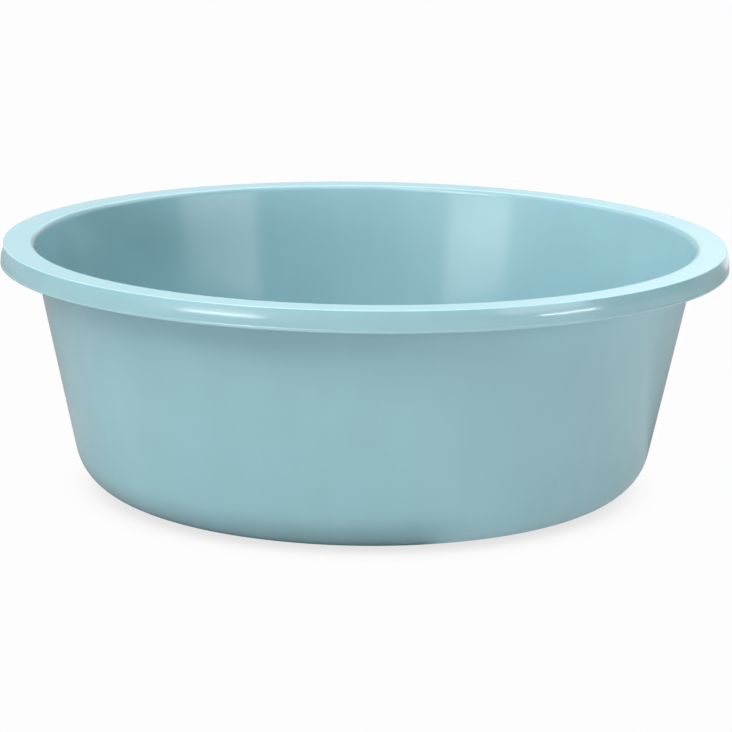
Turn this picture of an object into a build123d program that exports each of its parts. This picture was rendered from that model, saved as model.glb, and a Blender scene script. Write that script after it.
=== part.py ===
# Round washing-up bowl, moulded in one shot of polypropylene.
#
# The whole bowl is one even skin: a floor, a rounded corner, a tapered wall, a
# flat flange and a turned-down skirt with a bead along its edge. Half of its
# section is drawn as two faces, the wet one and the dry one, and is spun round
# the axis.
#
# Millimetres and degrees. +Z is up, and the origin is where the bowl's axis
# meets the surface that it stands on.

import os
from math import atan2, cos, hypot, pi, radians, tan

from build123d import *

# Overall sizes
rim_diameter = 360.0
bowl_height = 123.0
wall = 1.5

# Wall and the rounded corner at its foot, on the wet face
wall_draft_angle = 11.8
corner_radius = 23.4

# Floor: its middle is set up a little, so the bowl stands on a flat ring
seat_width = 15.0
floor_rise = 1.0
rise_slope_width = 5.0
rise_blend_radius = 8.0

# Rim: a flat flange, a shoulder that leans out below its edge, and a skirt that
# hangs clear of the wall
mouth_round_radius = 3.3
flange_width = 15.0
flange_edge_radius = 0.5
shoulder_width = 1.3
shoulder_fall = 4.6
shoulder_arc_share = 0.56
skirt_depth = 10.2
skirt_root_radius = 3.0
bead_proud = 0.2

# Mark that the moulding gate leaves in the middle of the underside
gate_diameter = 12.0
gate_depth = 0.5
stub_diameter = 4.0
stub_height = 0.3

# Heights
raised_floor_z = wall + floor_rise
flange_under_z = bowl_height - wall
bead_radius = wall / 2 + bead_proud
bead_z = bowl_height - skirt_depth + bead_radius
gate_z = floor_rise + gate_depth

# Rim, from the outside in
skirt_radius = rim_diameter / 2 - bead_proud
skirt_inner_radius = skirt_radius - wall
flange_radius = skirt_radius - shoulder_width
mouth_radius = flange_radius - flange_width

# Wall: straight lines of the wet face, and of the dry face one wall outside it
draft = radians(wall_draft_angle)
wall_across = wall / cos(draft)
floor_radius = mouth_radius - (bowl_height - wall) * tan(draft)
neck_radius = mouth_radius - wall * tan(draft) + wall_across
base_radius = floor_radius - wall * tan(draft) + wall_across

# Floor: the flat ring starts where the dry face's corner ends
dry_corner_radius = corner_radius + wall
corner_setback = dry_corner_radius * tan((pi / 2 - draft) / 2)
rise_foot_radius = base_radius - corner_setback - seat_width
rise_radius = rise_foot_radius - rise_slope_width

# The shoulder turns from its slope to upright in one arc, which takes up a share
# of the slope that the flange's rounded edge leaves, or of the skirt's upright
# part where that is shorter. The root under the flange is limited by the skirt.
shoulder_turn = atan2(shoulder_width, shoulder_fall)
edge_setback = flange_edge_radius * tan((pi / 2 - shoulder_turn) / 2)
slope_room = hypot(shoulder_width, shoulder_fall) - edge_setback
skirt_room = bowl_height - shoulder_fall - bead_z
shoulder_arc_reach = shoulder_arc_share * min(slope_room, skirt_room)
shoulder_radius = shoulder_arc_reach / tan(shoulder_turn / 2)
root_radius = min(skirt_root_radius, shoulder_arc_share * (flange_under_z - bead_z))

with BuildPart() as bowl:
    with BuildSketch(Plane.XZ) as section:
        with BuildLine():
            wet_face = FilletPolyline(
                (0, raised_floor_z),
                (rise_radius, raised_floor_z),
                (rise_foot_radius, wall),
                (floor_radius, wall),
                (mouth_radius, bowl_height),
                (flange_radius, bowl_height),
                (skirt_radius, bowl_height - shoulder_fall),
                (skirt_radius, bead_z),
                radius=[
                    rise_blend_radius,
                    rise_blend_radius,
                    corner_radius,
                    mouth_round_radius,
                    flange_edge_radius,
                    shoulder_radius,
                ],
            )
            dry_face = FilletPolyline(
                (0, gate_z - stub_height),
                (stub_diameter / 2, gate_z - stub_height),
                (stub_diameter / 2, gate_z),
                (gate_diameter / 2, gate_z),
                (gate_diameter / 2, floor_rise),
                (rise_radius, floor_rise),
                (rise_foot_radius, 0),
                (base_radius, 0),
                (neck_radius, flange_under_z),
                (skirt_inner_radius, flange_under_z),
                (skirt_inner_radius, bead_z),
                radius=[
                    0,
                    0,
                    0,
                    0,
                    rise_blend_radius,
                    rise_blend_radius,
                    dry_corner_radius,
                    mouth_round_radius - wall,
                    root_radius,
                ],
            )
            Line(wet_face @ 0, dry_face @ 0)
            Line(wet_face @ 1, dry_face @ 1)
        make_face()
        with Locations((skirt_radius - wall / 2, bead_z)):
            Circle(bead_radius)
    revolve(axis=Axis.Z)

bowl.part.label = "bowl"

os.makedirs("parts", exist_ok=True)
export_step(bowl.part, "parts/bowl.step")
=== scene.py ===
from math import atan2, cos, hypot, pi, radians, sin, tan

import bmesh
import bpy
from mathutils import Matrix, Vector


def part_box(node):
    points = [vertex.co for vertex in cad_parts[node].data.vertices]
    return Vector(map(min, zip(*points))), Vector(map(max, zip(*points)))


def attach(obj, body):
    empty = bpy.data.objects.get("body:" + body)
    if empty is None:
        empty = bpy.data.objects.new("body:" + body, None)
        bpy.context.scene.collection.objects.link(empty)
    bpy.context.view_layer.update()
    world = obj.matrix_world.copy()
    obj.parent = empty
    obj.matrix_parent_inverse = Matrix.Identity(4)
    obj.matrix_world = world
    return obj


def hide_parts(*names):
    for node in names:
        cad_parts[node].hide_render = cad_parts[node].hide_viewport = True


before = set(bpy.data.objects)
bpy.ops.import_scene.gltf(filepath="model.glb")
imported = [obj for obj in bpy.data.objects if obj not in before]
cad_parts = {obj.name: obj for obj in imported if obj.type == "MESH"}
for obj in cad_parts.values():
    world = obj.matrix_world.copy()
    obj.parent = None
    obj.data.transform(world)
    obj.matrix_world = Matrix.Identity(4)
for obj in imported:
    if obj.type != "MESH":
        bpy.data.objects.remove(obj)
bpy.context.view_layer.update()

# The bowl is one skin of pale aqua polypropylene, shot through a gate in the
# middle of the underside. Its section is traced from the middle of the wet
# face, over the rim and back under the floor, and is spun round the axis.

bowl_low, bowl_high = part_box("bowl")
bowl_height = bowl_high.z
rim_radius = bowl_high.x
wall = 0.0015
draft = radians(11.8)
corner_round = 0.0234

seat_width = 0.015
floor_rise = 0.001
rise_slope_width = 0.005
rise_round = 0.008

mouth_round = 0.0033
flange_width = 0.0150
flange_edge_round = 0.0005
shoulder_width = 0.0013
shoulder_fall = 0.0046
shoulder_arc_share = 0.56
skirt_depth = 0.0102
skirt_root_round = 0.003

bead_proud = 0.0002
bead_height = 0.0016
bead_step = 0.0003
bead_edge_round = 0.0007
bead_step_round = 0.0002

gate_radius = 0.006
gate_depth = 0.0005
stub_radius = 0.002
stub_height = 0.0003
gate_round = 0.0001

skirt_radius = rim_radius - bead_proud
skirt_inner_radius = skirt_radius - wall
bead_inner_radius = skirt_inner_radius - bead_proud
flange_radius = skirt_radius - shoulder_width
mouth_radius = flange_radius - flange_width
floor_radius = mouth_radius - (bowl_height - wall) * tan(draft)
neck_radius = mouth_radius - wall * tan(draft) + wall / cos(draft)
base_radius = floor_radius - wall * tan(draft) + wall / cos(draft)
rise_foot_radius = base_radius - (corner_round + wall) * tan((pi / 2 - draft) / 2) - seat_width
rise_radius = rise_foot_radius - rise_slope_width

flange_under = bowl_height - wall
skirt_foot = bowl_height - skirt_depth
bead_top = skirt_foot + bead_height
bead_crest = bead_top - bead_step
gate_top = floor_rise + gate_depth

shoulder_turn = atan2(shoulder_width, shoulder_fall)
edge_setback = flange_edge_round * tan((pi / 2 - shoulder_turn) / 2)
shoulder_reach = shoulder_arc_share * (hypot(shoulder_width, shoulder_fall) - edge_setback)
shoulder_round = shoulder_reach / tan(shoulder_turn / 2)

# radius, height and rounding of each corner of the section
section_corners = (
    (0, wall + floor_rise, 0),
    (rise_radius, wall + floor_rise, rise_round),
    (rise_foot_radius, wall, rise_round),
    (floor_radius, wall, corner_round),
    (mouth_radius, bowl_height, mouth_round),
    (flange_radius, bowl_height, flange_edge_round),
    (skirt_radius, bowl_height - shoulder_fall, shoulder_round),
    (skirt_radius, bead_top, bead_step_round),
    (rim_radius, bead_crest, bead_step_round),
    (rim_radius, skirt_foot, bead_edge_round),
    (bead_inner_radius, skirt_foot, bead_edge_round),
    (bead_inner_radius, bead_crest, bead_step_round),
    (skirt_inner_radius, bead_top, bead_step_round),
    (skirt_inner_radius, flange_under, skirt_root_round),
    (neck_radius, flange_under, mouth_round - wall),
    (base_radius, 0, corner_round + wall),
    (rise_foot_radius, 0, rise_round),
    (rise_radius, floor_rise, rise_round),
    (gate_radius, floor_rise, gate_round),
    (gate_radius, gate_top, gate_round),
    (stub_radius, gate_top, gate_round),
    (stub_radius, gate_top - stub_height, gate_round),
    (0, gate_top - stub_height, 0),
)

arc_steps_per_turn = 72
fewest_arc_steps = 3
steps_round_axis = 288
support = 0.001
least_run_up = 0.003
least_run_out = 0.006


def line_to(section, pen, place):
    """Carries the line on from pen to a place given as radius and height."""
    end = bmesh.ops.extrude_vert_indiv(section, verts=[pen])["verts"][0]
    end.co = (place.x, 0, place.y)
    return end


def round_corner(section, pen, before, corner, after, radius):
    """Draws up to a corner and round its arc, with support points where there is room."""
    back = (before - corner).normalized()
    ahead = (after - corner).normalized()
    half_angle = back.angle(ahead) / 2
    setback = radius / tan(half_angle)
    start = corner + back * setback
    if (start - Vector((pen.co.x, pen.co.z))).length > least_run_up:
        pen = line_to(section, pen, start + back * support)
    pen = line_to(section, pen, start)
    centre = corner + (back + ahead).normalized() * radius / sin(half_angle)
    turn = pi - 2 * half_angle
    if back.cross(ahead) > 0:
        turn = -turn
    arc = bmesh.ops.spin(
        section,
        geom=[pen],
        cent=(centre.x, 0, centre.y),
        axis=(0, -1, 0),
        angle=turn,
        steps=max(fewest_arc_steps, round(abs(turn) / (2 * pi) * arc_steps_per_turn)),
        use_duplicate=False,
    )
    pen = arc["geom_last"][0]
    if (after - corner).length > setback + least_run_out:
        pen = line_to(section, pen, corner + ahead * (setback + support))
    return pen


def build_bowl():
    section = bmesh.new()
    places = [Vector(corner[:2]) for corner in section_corners]
    roundings = [corner[2] for corner in section_corners]
    pen = section.verts.new((places[0].x, 0, places[0].y))
    for before, corner, after, rounding in zip(places, places[1:], places[2:], roundings[1:]):
        pen = round_corner(section, pen, before, corner, after, rounding)
    line_to(section, pen, places[-1])
    bmesh.ops.spin(
        section,
        geom=section.verts[:] + section.edges[:],
        cent=(0, 0, 0),
        axis=(0, 0, 1),
        angle=2 * pi,
        steps=steps_round_axis,
        use_merge=True,
        use_duplicate=False,
    )
    bmesh.ops.remove_doubles(section, verts=section.verts, dist=1e-6)
    bmesh.ops.recalc_face_normals(section, faces=section.faces)
    for face in section.faces:
        face.smooth = True
    mesh = bpy.data.meshes.new("bowl_skin")
    section.to_mesh(mesh)
    section.free()
    piece = bpy.data.objects.new("bowl_skin", mesh)
    bpy.context.scene.collection.objects.link(piece)
    return piece


bowl_skin = build_bowl()

# The plastic is a little cloudy and streaked by its flow, with the gloss of the
# mould, fine scratches where it wears and a blush over the gate. The flange top
# is painted paler than the walls, a painted highlight for the light its top catches.

pigment = (0.333, 0.560, 0.616)
darkest = 0.965
lightest = 1.03
# how much paler the flange top is painted than the walls, as a painted highlight
flange_highlight_lift = 1.47
# pale colour for worn scratches, and for the painted highlight along the lip
wear_white_and_highlight = (0.62, 0.80, 0.84)
mould_roughness = 0.10
cloud_roughness = 0.05
peel_roughness = 0.03
scratch_roughness = 0.20
seat_roughness = 0.15
floor_roughness = 0.05
blush_roughness = 0.10
refractive_index = 1.49

noise_low = 0.3
noise_high = 0.7
cloud_share = 0.7
streak_share = 0.3
cloud_spacing = 0.045
streaks_per_turn = 46
peel_spacing = 0.0016
wave_spacing = 0.050
wave_depth = 0.00022
peel_depth = 0.000007
scratch_depth = 0.000006
scratch_pitch = 0.0011
scratch_length = 0.035
scratch_turns = (0.3, 1.4, 2.6)
scratch_from = 0.66
scratch_full = 0.74
gap_from = 0.46
gap_full = 0.60
scratch_paleness = 0.35
lip_painted_highlight = 0.25
lip_wear = 0.5
wear_everywhere = 0.08
blush_radius = 0.022
metre_to_millimetre = 1000


def calculate(tree, operation, *operands):
    """Adds a Math node, with numbers or other nodes' outputs to work on."""
    node = tree.nodes.new("ShaderNodeMath")
    node.operation = operation
    for socket, operand in zip(node.inputs, operands):
        if isinstance(operand, (int, float)):
            socket.default_value = operand
        else:
            tree.links.new(operand, socket)
    return node.outputs["Value"]


def weighted_sum(tree, *terms):
    """Adds up values, each times its own weight."""
    total = None
    for value, weight in terms:
        part = calculate(tree, "MULTIPLY", value, weight)
        total = part if total is None else calculate(tree, "ADD", total, part)
    return total


def ramp(tree, value, start, end, low=0.0, high=1.0):
    """Goes smoothly from low to high while the value goes from start to end."""
    node = tree.nodes.new("ShaderNodeMapRange")
    node.interpolation_type = "SMOOTHSTEP"
    node.inputs["From Min"].default_value = start
    node.inputs["From Max"].default_value = end
    node.inputs["To Min"].default_value = low
    node.inputs["To Max"].default_value = high
    tree.links.new(value, node.inputs["Value"])
    return node.outputs["Result"]


def mottle(tree, place, spacing, detail=2.0):
    """Gives soft noise from 0 to 1 whose blotches are about one spacing apart."""
    node = tree.nodes.new("ShaderNodeTexNoise")
    node.inputs["Scale"].default_value = 1 / spacing
    node.inputs["Detail"].default_value = detail
    tree.links.new(place, node.inputs["Vector"])
    return node.outputs["Fac"]


def blend_colours(tree, amount, first, second):
    """Mixes two colours, each a plain one or another node's output."""
    node = tree.nodes.new("ShaderNodeMix")
    node.data_type = "RGBA"
    tree.links.new(amount, node.inputs["Factor"])
    for name, colour in (("A", first), ("B", second)):
        socket = next(s for s in node.inputs if s.name == name and s.type == "RGBA")
        if isinstance(colour, tuple):
            socket.default_value = (*colour, 1)
        else:
            tree.links.new(colour, socket)
    return next(s for s in node.outputs if s.type == "RGBA")


def hairline_group():
    """Fine scratches along one direction, broken up, as a mask from 0 to 1."""
    group = bpy.data.node_groups.new("hairline_scratches", "ShaderNodeTree")
    group.interface.new_socket("Place", in_out="INPUT", socket_type="NodeSocketVector")
    group.interface.new_socket("Turn", in_out="INPUT", socket_type="NodeSocketVector")
    group.interface.new_socket("Mask", in_out="OUTPUT", socket_type="NodeSocketFloat")
    entry = group.nodes.new("NodeGroupInput")
    leave = group.nodes.new("NodeGroupOutput")
    lay = group.nodes.new("ShaderNodeMapping")
    group.links.new(entry.outputs["Place"], lay.inputs["Vector"])
    group.links.new(entry.outputs["Turn"], lay.inputs["Rotation"])
    lay.inputs["Scale"].default_value = (1 / scratch_length, 1 / scratch_pitch, 1 / scratch_length)
    lines = mottle(group, lay.outputs["Vector"], 1.0)
    lines = ramp(group, lines, scratch_from, scratch_full)
    gaps = mottle(group, entry.outputs["Place"], scratch_length)
    gaps = ramp(group, gaps, gap_from, gap_full)
    group.links.new(calculate(group, "MULTIPLY", lines, gaps), leave.inputs["Mask"])
    return group


def polypropylene():
    """Pale aqua plastic with the gloss of the mould, flow streaks, the marks of use and painted
    highlights on the flange top and the lip.
    """
    material = bpy.data.materials.new("aqua_polypropylene")
    material.use_nodes = True
    tree = material.node_tree
    shader = tree.nodes["Principled BSDF"]
    place = tree.nodes.new("ShaderNodeTexCoord").outputs["Object"]
    parts = tree.nodes.new("ShaderNodeSeparateXYZ")
    tree.links.new(place, parts.inputs["Vector"])
    height = parts.outputs["Z"]
    flat = tree.nodes.new("ShaderNodeCombineXYZ")
    tree.links.new(parts.outputs["X"], flat.inputs["X"])
    tree.links.new(parts.outputs["Y"], flat.inputs["Y"])
    distance = tree.nodes.new("ShaderNodeVectorMath")
    distance.operation = "LENGTH"
    tree.links.new(flat.outputs["Vector"], distance.inputs[0])
    radius = distance.outputs["Value"]
    outward = tree.nodes.new("ShaderNodeVectorMath")
    outward.operation = "NORMALIZE"
    tree.links.new(flat.outputs["Vector"], outward.inputs[0])

    cloud = mottle(tree, place, cloud_spacing)
    streak = mottle(tree, outward.outputs["Vector"], 2 * pi / streaks_per_turn)
    peel = mottle(tree, place, peel_spacing)
    wave = mottle(tree, place, wave_spacing, 0.0)

    on_floor = calculate(
        tree,
        "MULTIPLY",
        ramp(tree, height, corner_round / 2, wall + floor_rise),
        ramp(tree, height, wall / 2, wall),
    )
    on_seat = ramp(tree, height, floor_rise / 2, 0)
    on_lip = ramp(tree, height, bead_top, skirt_foot + bead_step)
    on_lip = calculate(tree, "MULTIPLY", on_lip, ramp(tree, radius, neck_radius, bead_inner_radius))
    blush = ramp(tree, radius, blush_radius, gate_radius)

    hairlines = hairline_group()
    scratches = None
    for turn in scratch_turns:
        layer = tree.nodes.new("ShaderNodeGroup")
        layer.node_tree = hairlines
        layer.inputs["Turn"].default_value = (0, 0, turn)
        tree.links.new(place, layer.inputs["Place"])
        mask = layer.outputs["Mask"]
        scratches = mask if scratches is None else calculate(tree, "MAXIMUM", scratches, mask)
    worn = calculate(tree, "MAXIMUM", on_floor, on_seat)
    worn = calculate(tree, "MAXIMUM", worn, calculate(tree, "MULTIPLY", on_lip, lip_wear))
    worn = calculate(tree, "ADD", worn, wear_everywhere)
    scratches = calculate(tree, "MULTIPLY", scratches, worn)

    darker = tuple(darkest * share for share in pigment)
    lighter = tuple(lightest * share for share in pigment)
    shade = weighted_sum(
        tree,
        (ramp(tree, cloud, noise_low, noise_high), cloud_share),
        (
            ramp(tree, streak, noise_low, noise_high),
            ramp(tree, radius, 2 * blush_radius, floor_radius, 0, streak_share),
        ),
    )
    colour = blend_colours(tree, shade, darker, lighter)
    # The flange top gets a paler copy of the pigment: a painted highlight for the light its top
    # catches.
    flange_foot = bowl_height - flange_edge_round
    flange_face = bowl_height - flange_edge_round / 4
    on_flange = ramp(tree, height, flange_foot, flange_face)
    colour = blend_colours(tree, on_flange, colour, tuple(flange_highlight_lift * share for share in pigment))
    # Scratches turn pale where the plastic is worn. The lip is paled as a painted highlight along the
    # bead.
    pale = weighted_sum(tree, (scratches, scratch_paleness), (on_lip, lip_painted_highlight))
    colour = blend_colours(tree, pale, colour, wear_white_and_highlight)
    tree.links.new(colour, shader.inputs["Base Color"])

    dull = weighted_sum(
        tree,
        (cloud, cloud_roughness),
        (peel, peel_roughness),
        (scratches, scratch_roughness),
        (on_seat, seat_roughness),
        (on_floor, floor_roughness),
        (blush, blush_roughness),
    )
    tree.links.new(calculate(tree, "ADD", dull, mould_roughness), shader.inputs["Roughness"])
    shader.inputs["IOR"].default_value = refractive_index

    relief = weighted_sum(
        tree,
        (wave, wave_depth * metre_to_millimetre),
        (peel, peel_depth * metre_to_millimetre),
        (scratches, -scratch_depth * metre_to_millimetre),
    )
    bump = tree.nodes.new("ShaderNodeBump")
    bump.inputs["Distance"].default_value = 1 / metre_to_millimetre
    tree.links.new(relief, bump.inputs["Height"])
    tree.links.new(bump.outputs["Normal"], shader.inputs["Normal"])
    return material


bowl_skin.data.materials.append(polypropylene())
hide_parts("bowl")
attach(bowl_skin, "root")

# A plain pale floor under the bowl. The camera sees it as an evenly lit white
# sheet with a faint painted contact shadow. To the bowl it is a matt floor, darker
# behind as painted shade for the bowl's own shadow there, with a few patches that
# light the plastic from below.

floor_size = 12.0
floor_gap = 0.0002
floor_paint = 0.48
floor_shade_behind = 0.35
behind_from = 100
behind_full = 130
backdrop_white = 0.98
contact_reach = 0.05
contact_shade = 0.75
open_enough = 0.6
# azimuth, half width, soft edge, nearest distance and brightness of each lit patch
floor_patches = (
    (60, 45, 8, 0, 0.3),
    (-166, 14, 4, 0, 1.6),
    (162, 18, 6, 0.7, 0.8),
)
patch_near_edge = 0.1


def build_floor():
    sheet = bmesh.new()
    below = Matrix.Translation((0, 0, -floor_gap))
    bmesh.ops.create_grid(sheet, x_segments=1, y_segments=1, size=floor_size / 2, matrix=below)
    mesh = bpy.data.meshes.new("studio_floor")
    sheet.to_mesh(mesh)
    sheet.free()
    piece = bpy.data.objects.new("studio_floor", mesh)
    bpy.context.scene.collection.objects.link(piece)
    material = bpy.data.materials.new("white_floor")
    material.use_nodes = True
    tree = material.node_tree
    paint = tree.nodes.new("ShaderNodeBsdfDiffuse")
    place = tree.nodes.new("ShaderNodeTexCoord").outputs["Object"]
    spot = tree.nodes.new("ShaderNodeSeparateXYZ")
    tree.links.new(place, spot.inputs["Vector"])
    forward = calculate(tree, "MULTIPLY", spot.outputs["Y"], -1)
    azimuth = calculate(tree, "DEGREES", calculate(tree, "ARCTAN2", spot.outputs["X"], forward))
    away = tree.nodes.new("ShaderNodeVectorMath")
    away.operation = "LENGTH"
    tree.links.new(place, away.inputs[0])
    turned = calculate(tree, "ABSOLUTE", azimuth)
    # Darker floor behind the bowl: painted shade standing in for the bowl's shadow there.
    behind = ramp(tree, turned, behind_from, behind_full, floor_paint, floor_shade_behind)
    tree.links.new(behind, paint.inputs["Color"])
    pool = tree.nodes.new("ShaderNodeEmission")
    pool_light = None
    for towards, half_width, edge, nearest, brightness in floor_patches:
        aside = calculate(tree, "ABSOLUTE", calculate(tree, "SUBTRACT", azimuth, towards))
        patch = ramp(tree, aside, half_width + edge / 2, half_width - edge / 2, 0, brightness)
        if nearest > 0:
            far = ramp(tree, away.outputs["Value"], nearest, nearest + patch_near_edge)
            patch = calculate(tree, "MULTIPLY", patch, far)
        pool_light = patch if pool_light is None else calculate(tree, "ADD", pool_light, patch)
    tree.links.new(pool_light, pool.inputs["Strength"])
    lit_floor = tree.nodes.new("ShaderNodeAddShader")
    tree.links.new(paint.outputs["BSDF"], lit_floor.inputs[0])
    tree.links.new(pool.outputs["Emission"], lit_floor.inputs[1])
    openness = tree.nodes.new("ShaderNodeAmbientOcclusion")
    openness.inputs["Distance"].default_value = contact_reach
    glow = tree.nodes.new("ShaderNodeEmission")
    shade = ramp(tree, openness.outputs["AO"], 0, open_enough, contact_shade, backdrop_white)
    tree.links.new(shade, glow.inputs["Strength"])
    seen = tree.nodes.new("ShaderNodeLightPath")
    choice = tree.nodes.new("ShaderNodeMixShader")
    tree.links.new(seen.outputs["Is Camera Ray"], choice.inputs["Fac"])
    tree.links.new(lit_floor.outputs["Shader"], choice.inputs[1])
    tree.links.new(glow.outputs["Emission"], choice.inputs[2])
    tree.links.new(choice.outputs["Shader"], tree.nodes["Material Output"].inputs["Surface"])
    mesh.materials.append(material)
    return piece


build_floor()

# The studio light: soft boxes and white walls far from the bowl. Each has its
# direction from the bowl, azimuth counted from the camera and positive to the
# right, its half size and the width of its soft edge in degrees, and a brightness.

softbox_settings = ("Towards", "Up", "Half Width", "Half Height", "Edge", "Brightness")
softboxes = {
    "left_main": (-41, 57, 25, 27, 6, 3.75),
    "left_core": (-43, 38, 10, 16, 6, 4.0),
    "left_skirt_strip": (-44, 4.5, 13, 3.5, 3, 11),
    "left_inside_strip": (-44, 12, 12, 2.5, 4, 3.3),
    "left_spill": (-43, 10, 28, 10, 8, 0.7),
    "right_fill": (57, 18, 15.5, 8.5, 4.3, 2.9),
    "ceiling": (165, 99, 160, 24.5, 10.7, 3.63),
    "back_wall_high": (180, 55, 70, 20, 8, 1.35),
    "back_wall_low": (178, 12, 52.5, 15.3, 5.5, 0.52),
    "back_wall_strip": (168, 28, 7.5, 18, 8, 0.8),
    "right_skirt_strip": (64.5, 2.4, 10.5, 2, 2, 16),
}


def softbox_group():
    """The light from one soft box in a direction, bright in the middle and soft at its edge."""
    group = bpy.data.node_groups.new("softbox", "ShaderNodeTree")
    for name in ("Azimuth", "Elevation", *softbox_settings):
        group.interface.new_socket(name, in_out="INPUT", socket_type="NodeSocketFloat")
    group.interface.new_socket("Light", in_out="OUTPUT", socket_type="NodeSocketFloat")
    entry = group.nodes.new("NodeGroupInput").outputs
    leave = group.nodes.new("NodeGroupOutput")
    light = entry["Brightness"]
    sideways = calculate(group, "SUBTRACT", entry["Azimuth"], entry["Towards"])
    sideways = calculate(group, "WRAP", sideways, 180, -180)
    upwards = calculate(group, "SUBTRACT", entry["Elevation"], entry["Up"])
    for offset, half_size in ((sideways, entry["Half Width"]), (upwards, entry["Half Height"])):
        inside = calculate(group, "SUBTRACT", half_size, calculate(group, "ABSOLUTE", offset))
        step = calculate(group, "ADD", calculate(group, "DIVIDE", inside, entry["Edge"]), 0.5)
        light = calculate(group, "MULTIPLY", light, ramp(group, step, 0, 1))
    group.links.new(light, leave.inputs["Light"])
    return group


def build_studio():
    world = bpy.data.worlds.new("soft_studio")
    world.use_nodes = True
    tree = world.node_tree
    way = tree.nodes.new("ShaderNodeSeparateXYZ")
    tree.links.new(tree.nodes.new("ShaderNodeTexCoord").outputs["Generated"], way.inputs["Vector"])
    towards_camera = calculate(tree, "MULTIPLY", way.outputs["Y"], -1)
    azimuth = calculate(tree, "DEGREES", calculate(tree, "ARCTAN2", way.outputs["X"], towards_camera))
    elevation = calculate(tree, "DEGREES", calculate(tree, "ARCSINE", way.outputs["Z"]))
    group = softbox_group()
    light = None
    for box_name, numbers in softboxes.items():
        box = tree.nodes.new("ShaderNodeGroup")
        box.label = box_name
        box.node_tree = group
        tree.links.new(azimuth, box.inputs["Azimuth"])
        tree.links.new(elevation, box.inputs["Elevation"])
        for name, number in zip(softbox_settings, numbers):
            box.inputs[name].default_value = number
        beam = box.outputs["Light"]
        light = beam if light is None else calculate(tree, "ADD", light, beam)
    seen = tree.nodes.new("ShaderNodeLightPath").outputs["Is Camera Ray"]
    white = calculate(tree, "MULTIPLY", seen, backdrop_white)
    unseen = calculate(tree, "MULTIPLY", calculate(tree, "SUBTRACT", 1, seen), light)
    background = tree.nodes["Background"]
    background.inputs["Color"].default_value = (1, 1, 1, 1)
    tree.links.new(calculate(tree, "ADD", white, unseen), background.inputs["Strength"])
    return world


bpy.context.scene.world = build_studio()
bpy.context.scene.view_settings.view_transform = "Standard"

# The camera stands in front of the bowl, a little above the rim, and far
# enough back that the mouth is a flat ellipse, as in the photograph.

camera_distance = 1.4629
camera_elevation = 0.17752
camera_pitch = 0.22079
camera_yaw = -0.00089
camera_roll = 0.01273
focal_pixels = 2945.9
frame_pixels = 732

camera_data = bpy.data.cameras.new("studio_camera")
camera_data.sensor_width = 36
camera_data.lens = camera_data.sensor_width * focal_pixels / frame_pixels
camera = bpy.data.objects.new("studio_camera", camera_data)
camera.location = (
    0,
    -camera_distance * cos(camera_elevation),
    bowl_height + camera_distance * sin(camera_elevation),
)
camera.rotation_euler = (
    Matrix.Rotation(camera_yaw, 3, "Z")
    @ Matrix.Rotation(pi / 2 - camera_pitch, 3, "X")
    @ Matrix.Rotation(camera_roll, 3, "Z")
).to_euler()
bpy.context.scene.collection.objects.link(camera)
bpy.context.scene.camera = camera
